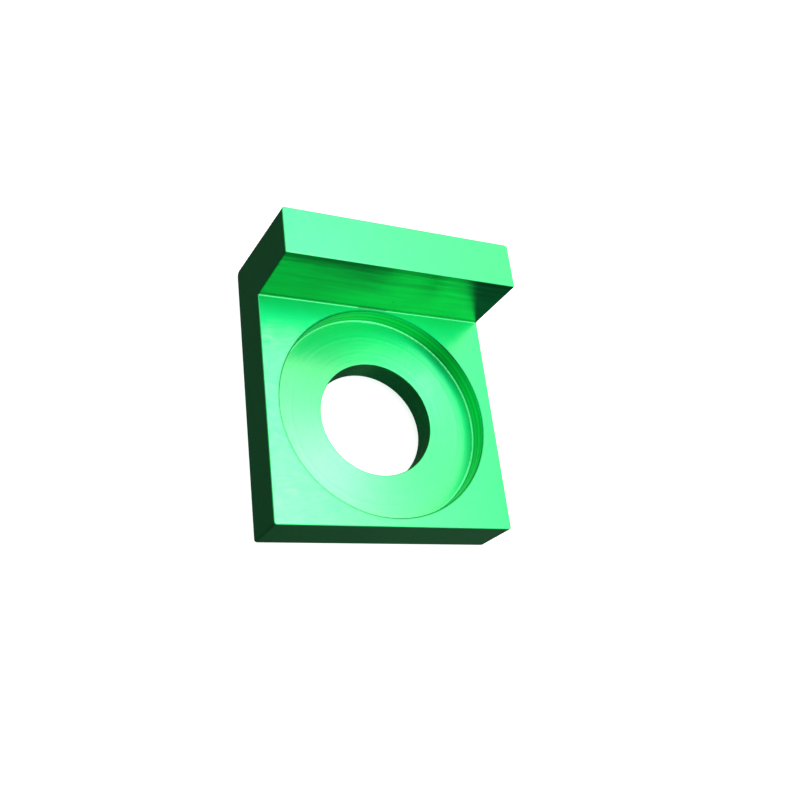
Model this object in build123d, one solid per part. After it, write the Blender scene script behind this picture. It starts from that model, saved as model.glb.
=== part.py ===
from build123d import *

import os

# Chain adjuster block for a motorcycle's rear axle.
#
# One milled and anodised aluminium block, L-shaped in side view: a square plate
# with a plain bore for the wheel axle and a round counterbore for the axle nut's
# washer, and a lip along one end that the adjuster screw pushes on.
#
# Frame: the origin is on the bore's axis, in the plane of the plate's back face.
# +Z runs along the bore, out of the counterbore. +Y points to the lip. X runs
# along the lip. The block lies on its back face, with the lip standing up.
# All lengths are in millimetres.

# --- driving dimensions -------------------------------------------------------
WIDTH = 42.0            # along the lip, X: the sliding width of the block
PLATE_T = 9.8           # plate thickness, Z
LIP_T = 8.45            # lip thickness at its top, Y
LIP_SLANT = 1.45        # how much further out the lip's outer face is at its foot, Y
LIP_RISE = 13.2         # lip height above the plate's front face, Z
AXIS_TO_LIP = 19.25     # bore axis to the lip's inner face, Y
AXIS_TO_END = 20.1      # bore axis to the plate's free end, Y

BORE_D = 20.3           # plain bore for a 20 mm axle
RECESS_D = 37.2         # counterbore for a 37 mm washer
RECESS_DEPTH = 3.5      # below the plate's front face

CORNER_R = 0.45         # upright corners at the plate's free end
FOOT_R = 1.2            # rounding along the lip's foot, outside
BACK_EDGE_R = 0.6       # rounding of the outer face's and back face's other edges
BACK_BORE_C = 1.7       # 45 degree lead-in at the bore's back mouth
EDGE_BREAK = 0.22       # deburred front edges
INNER_R = 0.3           # milled corner between the plate and the lip
RECESS_FLOOR_R = 0.3    # cutter's nose radius round the counterbore's floor
RIM_BREAK = 0.12        # 45 degree chamfer round the counterbore's rim
BORE_BREAK = 0.15       # deburred front mouth of the bore

# --- derived ------------------------------------------------------------------
HALF_W = WIDTH / 2
Y_END = -AXIS_TO_END
Y_INNER = AXIS_TO_LIP
Y_OUTER = AXIS_TO_LIP + LIP_T
Y_FOOT = Y_OUTER + LIP_SLANT
Z_FACE = PLATE_T
Z_TOP = PLATE_T + LIP_RISE
Z_FLOOR = PLATE_T - RECESS_DEPTH
EPS = 1e-4


def at(value, target):
    return abs(value - target) < EPS


def make_block():
    """The whole block, as one solid."""
    # side view of the block, drawn in the YZ plane and extruded along X
    outline = [
        (Y_END, 0.0),
        (Y_FOOT, 0.0),
        (Y_OUTER, Z_TOP),
        (Y_INNER, Z_TOP),
        (Y_INNER, Z_FACE),
        (Y_END, Z_FACE),
    ]
    profile = make_face(Polyline(*[(0.0, y, z) for y, z in outline], close=True))
    block = extrude(profile, amount=HALF_W, dir=(1, 0, 0), both=True)

    # upright corners at the free end, and the lip's foot
    uprights = [
        e
        for e in block.edges()
        if at(e.center().Y, Y_END) and abs(e.tangent_at(0.5).Z) > 0.999
    ]
    block = fillet(uprights, CORNER_R)
    foot = [e for e in block.edges() if at(e.center().Y, Y_FOOT) and at(e.center().Z, 0.0)]
    block = fillet(foot, FOOT_R)

    # milled corner between plate and lip
    inner = [
        e
        for e in block.edges()
        if at(e.center().Y, Y_INNER)
        and at(e.center().Z, Z_FACE)
        and abs(e.tangent_at(0.5).X) > 0.999
    ]
    block = fillet(inner, INNER_R)

    # rounding round the back face, round the foot and up the outer face's sides
    def back_edge(e):
        c, t = e.center(), e.tangent_at(0.5)
        on_back = at(c.Z, 0.0) and not (abs(t.X) > 0.999 and c.Y > 0)
        on_side = at(abs(c.X), HALF_W) and c.Y > Y_OUTER - EPS
        return on_back or on_side

    block = fillet([e for e in block.edges() if back_edge(e)], BACK_EDGE_R)

    # counterbore and bore
    block -= Pos(0, 0, Z_FLOOR) * Cylinder(
        RECESS_D / 2, RECESS_DEPTH + 1.0, align=(Align.CENTER, Align.CENTER, Align.MIN)
    )
    block -= Pos(0, 0, -1.0) * Cylinder(
        BORE_D / 2, Z_FACE + 2.0, align=(Align.CENTER, Align.CENTER, Align.MIN)
    )

    def circle_at(z, d):
        return [
            e
            for e in block.edges()
            if e.geom_type == GeomType.CIRCLE
            and at(e.radius, d / 2)
            and at(e.center().Z, z)
            and at(e.arc_center.X, 0.0)
            and at(e.arc_center.Y, 0.0)
        ]

    block = fillet(circle_at(Z_FLOOR, RECESS_D), RECESS_FLOOR_R)
    block = chamfer(circle_at(0.0, BORE_D), BACK_BORE_C)
    block = fillet(circle_at(Z_FLOOR, BORE_D), BORE_BREAK)
    block = chamfer(circle_at(Z_FACE, RECESS_D), RIM_BREAK)

    # deburred edges of the plate's front face and of the lip
    def front_edge(e):
        c, t = e.center(), e.tangent_at(0.5)
        if e.geom_type == GeomType.CIRCLE and at(e.arc_center.X, 0.0):
            return False
        on_top = at(c.Z, Z_TOP)
        on_face = at(c.Z, Z_FACE) and c.Y < Y_INNER - INNER_R - EPS
        lip_side = (
            at(abs(c.X), HALF_W)
            and at(c.Y, Y_INNER)
            and abs(t.Z) > 0.999
        )
        inner_arc = at(abs(c.X), HALF_W) and (
            Y_INNER - INNER_R - EPS < c.Y < Y_INNER + EPS
            and Z_FACE - EPS < c.Z < Z_FACE + INNER_R + EPS
        )
        return on_top or on_face or lip_side or inner_arc

    block = fillet([e for e in block.edges() if front_edge(e)], EDGE_BREAK)
    return block


def main():
    os.makedirs("parts", exist_ok=True)
    block = make_block()
    solid = block.solid()
    solid.label = "adjuster_block"
    print(
        "adjuster_block",
        "volume mm3",
        round(solid.volume, 1),
        "size",
        solid.bounding_box().size,
        "faces",
        len(solid.faces()),
    )
    export_step(solid, "parts/adjuster_block.step")


if __name__ == "__main__":
    main()
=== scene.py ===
import math

import bpy
from mathutils import Matrix, Vector

MM = 0.001
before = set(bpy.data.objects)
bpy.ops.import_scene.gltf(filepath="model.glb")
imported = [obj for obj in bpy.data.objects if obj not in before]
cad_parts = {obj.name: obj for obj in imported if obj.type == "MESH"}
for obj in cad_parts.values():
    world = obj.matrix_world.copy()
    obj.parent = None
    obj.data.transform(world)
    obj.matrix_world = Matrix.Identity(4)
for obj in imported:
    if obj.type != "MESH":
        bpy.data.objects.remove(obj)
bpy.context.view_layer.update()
scene = bpy.context.scene
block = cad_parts["adjuster_block"]

Z_FACE = 9.8  # the plate's front face, in millimetres

# --- camera -------------------------------------------------------------------
cam_data = bpy.data.cameras.new("camera")
cam_data.sensor_fit = "HORIZONTAL"
cam_data.sensor_width = 36.0
cam_data.lens = 43.724
cam_data.clip_start = 0.005
cam_data.clip_end = 20.0
cam = bpy.data.objects.new("camera", cam_data)
scene.collection.objects.link(cam)
right = Vector((0.890309, -0.119358, 0.439435))
down = Vector((0.076566, -0.912055, -0.402856))
ahead = Vector((0.448873, 0.392312, -0.802873))
turn = Matrix((right, -down, -ahead)).transposed()
cam.matrix_world = Matrix.Translation(Vector((-70.489, -62.005, 141.110)) * MM) @ turn.to_4x4()
scene.camera = cam


# --- node helpers -------------------------------------------------------------
class Nodes:
    """Short ways to add and join shader nodes in one tree."""

    def __init__(self, tree):
        self.tree = tree
        tree.nodes.clear()

    def add(self, kind, name=None, **values):
        node = self.tree.nodes.new(kind)
        if name:
            node.name = node.label = name
        for key, value in values.items():
            setattr(node, key, value)
        return node

    def set(self, socket, value):
        if isinstance(value, bpy.types.NodeSocket):
            self.tree.links.new(value, socket)
        else:
            socket.default_value = value

    def math(self, op, *args, clamp=False, name=None):
        node = self.add("ShaderNodeMath", name, operation=op, use_clamp=clamp)
        for socket, value in zip(node.inputs, args):
            self.set(socket, value)
        return node.outputs[0]

    def product(self, first, *rest):
        for value in rest:
            first = self.math("MULTIPLY", first, value)
        return first

    def vec(self, op, *args, name=None):
        node = self.add("ShaderNodeVectorMath", name, operation=op)
        for socket, value in zip(node.inputs, args):
            self.set(socket, value)
        return node.outputs["Value"] if op in ("DOT_PRODUCT", "LENGTH", "DISTANCE") else node.outputs[0]

    def scaled(self, vector, factor):
        node = self.add("ShaderNodeVectorMath", operation="SCALE")
        self.set(node.inputs[0], vector)
        self.set(node.inputs["Scale"], factor)
        return node.outputs[0]

    def split(self, vector):
        node = self.add("ShaderNodeSeparateXYZ")
        self.set(node.inputs[0], vector)
        return node.outputs[0], node.outputs[1], node.outputs[2]

    def join(self, x, y, z):
        node = self.add("ShaderNodeCombineXYZ")
        for socket, value in zip(node.inputs, (x, y, z)):
            self.set(socket, value)
        return node.outputs[0]

    def smooth(self, value, low, high, to_low=0.0, to_high=1.0, name=None):
        """From to_low to to_high as value goes from low to high, held outside."""
        node = self.add("ShaderNodeMapRange", name, interpolation_type="SMOOTHSTEP", clamp=True)
        self.set(node.inputs["Value"], value)
        node.inputs["From Min"].default_value = low
        node.inputs["From Max"].default_value = high
        node.inputs["To Min"].default_value = to_low
        node.inputs["To Max"].default_value = to_high
        return node.outputs[0]

    def noise(self, where, scale=1.0, detail=2.0, rough=0.5, colour=False):
        """Noise of about 0 to 1. A single number as the place makes it one-dimensional."""
        flat = where.type == "VALUE"
        node = self.add("ShaderNodeTexNoise", noise_dimensions="1D" if flat else "3D")
        self.set(node.inputs["W" if flat else "Vector"], where)
        node.inputs["Scale"].default_value = scale
        node.inputs["Detail"].default_value = detail
        node.inputs["Roughness"].default_value = rough
        return node.outputs["Color" if colour else "Fac"]

    def swing(self, value, size, name=None):
        """A 0 to 1 noise turned into one of plus or minus size."""
        return self.math("MULTIPLY", self.math("SUBTRACT", value, 0.5), 2.0 * size, name=name)

    def blend(self, factor, a, b, mode="MIX"):
        node = self.add("ShaderNodeMix", data_type="RGBA", blend_type=mode)
        self.set(node.inputs["Factor"], factor)
        for i, value in ((6, a), (7, b)):
            self.set(node.inputs[i], value)
        return node.outputs[2]


def direction(azimuth, elevation):
    a, e = math.radians(azimuth), math.radians(elevation)
    return Vector((math.cos(a) * math.cos(e), math.sin(a) * math.cos(e), math.sin(e)))


# --- light --------------------------------------------------------------------
# A soft studio: an even dome above and little light from below. One warm round
# softbox stands high behind the block, two lower ones stand behind it, and the
# near side of the room is dim.
world = bpy.data.worlds.new("studio")
scene.world = world
world.use_nodes = True
n = Nodes(world.node_tree)
towards = n.add("ShaderNodeTexCoord").outputs["Generated"]
height = n.split(towards)[2]
dome = n.smooth(height, -0.60, 0.0, 0.023, 0.218, name="dome_low")
dome = n.math("ADD", dome, n.smooth(height, 0.25, 0.62, 0.0, 0.73, name="dome_high"))
back = n.join(dome, dome, dome)
# azimuth, elevation, sharpness, level and colour of soft round patches in the dome
for azimuth, elevation, sharpness, level, colour in (
    (40, 74, 46.0, 10.8, (1.0, 0.38, 0.59)),
    (44, 28, 128.0, 3.0, (1.0, 0.75, 0.5)),
    (57, 50, 60.0, 0.9, (1.0, 0.88, 0.75)),
    (315, 52, 8.0, 0.39, (1.0, 1.0, 1.0)),
    (222, 46, 14.0, -0.95, (1.0, 1.0, 1.0)),
    (0, 90, 9.4, -0.08, (1.0, 1.0, 1.0)),
    (317, -43, 40.0, 0.055, (1.0, 1.0, 1.0)),
):
    cosine = n.vec("DOT_PRODUCT", towards, tuple(direction(azimuth, elevation)))
    patch = n.math("EXPONENT", n.math("MULTIPLY", n.math("SUBTRACT", cosine, 1.0), sharpness))
    back = n.vec("ADD", back, n.scaled(tuple(colour), n.math("MULTIPLY", patch, level)))
light = n.add("ShaderNodeBackground")
n.set(light.inputs["Color"], n.vec("MAXIMUM", back, (0.0, 0.0, 0.0)))
light.inputs["Strength"].default_value = 1.0
plain = n.add("ShaderNodeBackground")
plain.inputs["Color"].default_value = (1, 1, 1, 1)
plain.inputs["Strength"].default_value = 1.0
path = n.add("ShaderNodeLightPath")
mix = n.add("ShaderNodeMixShader")
n.set(mix.inputs[0], path.outputs["Is Camera Ray"])
n.set(mix.inputs[1], light.outputs[0])
n.set(mix.inputs[2], plain.outputs[0])
n.set(n.add("ShaderNodeOutputWorld").inputs["Surface"], mix.outputs[0])


# --- floor --------------------------------------------------------------------
mesh = bpy.data.meshes.new("floor")
s = 6.0
mesh.from_pydata([(-s, -s, 0), (s, -s, 0), (s, s, 0), (-s, s, 0)], [], [(0, 1, 2, 3)])
floor = bpy.data.objects.new("floor", mesh)
floor.location.z = -0.00002
scene.collection.objects.link(floor)
mat = bpy.data.materials.new("floor_white")
mat.use_nodes = True
n = Nodes(mat.node_tree)
diffuse = n.add("ShaderNodeBsdfDiffuse")
diffuse.inputs["Color"].default_value = (0.85, 0.85, 0.85, 1)
lit = n.add("ShaderNodeEmission")
lit.inputs["Color"].default_value = (1, 1, 1, 1)
lit.inputs["Strength"].default_value = 0.8
both = n.add("ShaderNodeAddShader")
n.set(both.inputs[0], diffuse.outputs[0])
n.set(both.inputs[1], lit.outputs[0])
n.set(n.add("ShaderNodeOutputMaterial").inputs["Surface"], both.outputs[0])
mesh.materials.append(mat)
floor.visible_glossy = False

# --- green anodised aluminium ---------------------------------------------------
mat = bpy.data.materials.new("green_anodised")
mat.use_nodes = True
n = Nodes(mat.node_tree)
coords = n.add("ShaderNodeTexCoord")
place = n.scaled(coords.outputs["Object"], 1000.0)  # millimetres
x, y, z = n.split(place)
nx, ny, nz = n.split(coords.outputs["Normal"])
radius = n.math("SQRT", n.math("ADD", n.math("MULTIPLY", x, x), n.math("MULTIPLY", y, y)))

# which face is which
up = n.smooth(nz, 0.86, 0.97)
on_floor = n.product(up, n.smooth(z, 8.4, 7.6))
on_plate = n.product(up, n.smooth(z, 8.6, 9.4), n.smooth(z, 12.0, 11.0))
on_top = n.product(up, n.smooth(z, 20.0, 21.0))
on_flat = n.math("ADD", on_plate, on_top)
on_inner = n.product(n.smooth(ny, -0.86, -0.97), n.smooth(z, Z_FACE + 0.1, Z_FACE + 0.4), n.smooth(y, 15.0, 17.0))
upright = n.smooth(n.math("ABSOLUTE", nz), 0.5, 0.2)
on_wall = n.product(upright, n.smooth(radius, 19.0, 18.8))
on_recess_wall = n.product(on_wall, n.smooth(radius, 12.0, 14.0))
sloping = n.product(n.smooth(nz, 0.30, 0.45), n.smooth(nz, 0.95, 0.88))
on_rim = n.product(sloping, n.smooth(radius, 18.4, 18.55), n.smooth(radius, 19.05, 18.95), n.smooth(z, 9.3, 9.5))
on_corner = n.product(n.smooth(nz, 0.985, 0.95), n.smooth(radius, 18.20, 18.32), n.smooth(radius, 18.9, 18.7), n.smooth(z, 6.75, 6.59))
on_fillet = n.product(n.smooth(nz, 0.985, 0.95), n.smooth(y, 18.85, 18.97), n.smooth(y, 19.5, 19.35), n.smooth(z, 10.3, 10.09), n.smooth(z, 9.65, 9.75))

# finish of each face: how the cutter left it, as small tilts of the surface
# the recess floor is turned in rings and falls a little outwards, the walls of the
# hole are turned too, and the flat faces are milled along the lip
outward = n.vec("NORMALIZE", n.join(x, y, 0.0))
along = n.join(n.math("MULTIPLY", x, 0.02), y, z)
ring = n.swing(n.noise(radius, 2.2, 4.0, 0.60), 0.068, name="amp_broad")
ring = n.math("ADD", ring, 0.022, name="fall")
ring = n.product(ring, on_floor)
stroke = n.swing(n.noise(along, 1.6, 3.0, 0.6), 0.011, name="amp_stroke")
turned = n.noise(z, 1.7, 3.0, 0.6)
wall_ring = n.product(n.swing(turned, 0.10, name="amp_wall"), on_wall)
tilt = n.scaled(outward, ring)
tilt = n.vec("ADD", tilt, n.join(0.0, n.product(stroke, on_flat), n.product(stroke, on_inner)))
tilt = n.vec("ADD", tilt, n.join(0.0, 0.0, n.math("ADD", wall_ring, n.math("MULTIPLY", on_corner, 1.2, name="corner_lift"))))
# satin grain of the etched skin, all over
grain = n.vec("SUBTRACT", n.noise(place, 12.0, 2.0, 0.6, colour=True), (0.5, 0.5, 0.5))
tilt = n.vec("ADD", tilt, n.scaled(grain, 0.008))
# chatter where the cutter ran into the corner beside the recess
chatter = n.product(n.math("SINE", n.math("MULTIPLY", x, 16.0)), on_fillet, n.smooth(x, -3.6, -2.6), n.smooth(x, 3.0, 2.0))
tilt = n.vec("ADD", tilt, n.join(n.math("MULTIPLY", chatter, 0.5, name="amp_chatter"), 0.0, 0.0))
shape = n.add("ShaderNodeNewGeometry").outputs["Normal"]
facing = n.vec("NORMALIZE", n.vec("ADD", shape, tilt))
# tool marks too fine to see one by one, which draw the clear layer's gloss out across them
fine_ring = n.product(n.swing(n.noise(radius, 37.0, 1.0, 0.5), 0.32, name="amp_floor"), on_floor)
fine = n.noise(along, 37.0, 1.0, 0.5)
fine_flat = n.product(n.swing(fine, 0.25, name="amp_flat"), on_flat)
fine_inner = n.product(n.swing(fine, 0.20, name="amp_inner"), on_inner)
drawn = n.vec("ADD", n.scaled(outward, fine_ring), n.join(0.0, fine_flat, fine_inner))
gloss_facing = n.vec("NORMALIZE", n.vec("ADD", n.vec("ADD", shape, tilt), drawn))
# the way across the tool marks
across = n.vec("ADD", n.scaled(outward, n.math("MAXIMUM", on_floor, on_corner)), n.join(0.0, n.math("ADD", on_flat, 0.001), n.product(n.math("SUBTRACT", 1.0, up), n.math("SUBTRACT", 1.0, on_corner))))

# colour: the dye is even, with faint clouds
cloud = n.smooth(n.noise(place, 0.10, 3.0, 0.55), 0.25, 0.75, 0.96, 1.03)
# the lip's inner face is streaked along its length, most near its top edge, where it is darker, and it has a few
# small spots; painted shade darkens it along its foot, in the corner with the plate, and towards its left end
streak_at = n.join(n.math("MULTIPLY", x, 0.075), n.math("MULTIPLY", y, 0.07), n.math("MULTIPLY", z, 0.9))
streak = n.smooth(n.noise(streak_at, 1.0, 4.0, 0.6), 0.34, 0.62)
dark = n.product(n.math("SUBTRACT", 1.0, streak), n.smooth(z, 12.0, 21.0, 0.08, 0.30))
dark = n.math("MAXIMUM", dark, n.smooth(z, 21.3, 22.1, 0.0, 0.44, name="lip_edge"))
# painted shade along the foot of the lip's inner face, in the corner with the plate, and towards its left end
dark = n.math("MAXIMUM", dark, n.smooth(z, 10.55, 10.25, 0.0, 0.30, name="lip_root_painted_shade"))
dark = n.math("ADD", dark, n.smooth(x, 8.0, -21.0, 0.0, 0.32, name="lip_left_painted_shade"))
for spot_x, spot_z, size, depth in (
    (-16.6, 18.3, 0.55, 0.30),
    (-14.4, 18.5, 0.60, 0.22),
    (-15.6, 17.6, 0.40, 0.25),
    (-15.9, 14.6, 0.50, 0.30),
    (-4.7, 15.5, 1.00, 0.14),
    (2.4, 12.9, 0.60, 0.24),
):
    away = n.vec("DISTANCE", n.join(x, 0.0, z), (spot_x, 0.0, spot_z))
    dark = n.math("MAXIMUM", dark, n.smooth(n.math("ADD", away, n.swing(n.noise(place, 1.6, 2.0), 0.5)), size, 0.2 * size, 0.0, depth))
streaks_and_painted_shade = n.math("SUBTRACT", 1.0, n.product(dark, on_inner))
# upright faces are cut with the cutter's side; on the lip's inner face and the recess wall their colour is darkened
# as painted shade; the wall shows rings
side_cut = n.math("MAXIMUM", on_inner, on_recess_wall)
side_cut_painted_shade = n.math("SUBTRACT", 1.0, n.math("MULTIPLY", side_cut, 0.23, name="side_cut_painted_shade"))
wall_shade = n.math("SUBTRACT", 1.0, n.product(n.smooth(turned, 0.35, 0.65, 0.0, 0.22, name="wall_rings"), on_recess_wall))
# painted shade: the rim of the recess and a thin ring of the plate around it are a little darker, and so are the
# block's outer sides
# painted shade on a thin ring of the plate around the recess rim
painted_rim_ring = n.product(on_plate, n.smooth(radius, 18.94, 18.86))
# painted shade on the block's outer sides
outside = n.product(upright, n.smooth(radius, 19.2, 19.8), n.math("SUBTRACT", 1.0, on_inner))
edge_shade = n.math("SUBTRACT", 1.0, n.math("MULTIPLY", on_rim, 0.50, name="rim"))
edge_shade = n.math("SUBTRACT", edge_shade, n.math("MULTIPLY", painted_rim_ring, 0.35, name="painted_rim_ring"))
edge_shade = n.math("SUBTRACT", edge_shade, n.math("MULTIPLY", outside, 0.14, name="outside"))
tone = n.product(cloud, streaks_and_painted_shade, side_cut_painted_shade, wall_shade, edge_shade)

skin = n.add("ShaderNodeBsdfPrincipled", "skin")
dye = n.add("ShaderNodeRGB", "dye")
dye.outputs[0].default_value = (0.001, 0.945, 0.23, 1)
n.set(skin.inputs["Base Color"], n.scaled(dye.outputs[0], tone))
skin.inputs["Metallic"].default_value = 1.0
patch = n.swing(n.noise(place, 0.9, 4.0, 0.6), 0.04)
rough = n.smooth(up, 0.0, 1.0, 0.298, 0.40, name="rough")
rough = n.math("SUBTRACT", rough, n.math("MULTIPLY", on_corner, 0.16, name="corner_rough"))
rough = n.math("SUBTRACT", rough, n.math("MULTIPLY", n.math("MAXIMUM", on_fillet, on_rim), 0.12, name="edge_rough"))
n.set(skin.inputs["Roughness"], n.math("ADD", rough, patch))
bare = n.math("SUBTRACT", n.math("MAXIMUM", side_cut, on_rim), on_corner, clamp=True)
bare = n.math("ADD", bare, n.math("MULTIPLY", on_plate, 0.12, name="plate_bare"))
# the thin ring of painted shade around the recess rim also gets less clear coat
bare = n.math("ADD", bare, n.math("MULTIPLY", painted_rim_ring, 0.45, name="painted_rim_ring_bare"))
n.set(skin.inputs["Coat Weight"], n.math("SUBTRACT", 1.0, bare, clamp=True))
skin.inputs["Coat Roughness"].default_value = 0.15
skin.inputs["Coat IOR"].default_value = 1.78
skin.inputs["Anisotropic"].default_value = 0.79
n.set(skin.inputs["Tangent"], n.vec("NORMALIZE", across))
n.set(skin.inputs["Normal"], facing)
n.set(skin.inputs["Coat Normal"], gloss_facing)
n.set(n.add("ShaderNodeOutputMaterial").inputs["Surface"], skin.outputs[0])
block.data.materials.clear()
block.data.materials.append(mat)

# --- picture ------------------------------------------------------------------
scene.view_settings.view_transform = "Standard"
scene.view_settings.look = "None"
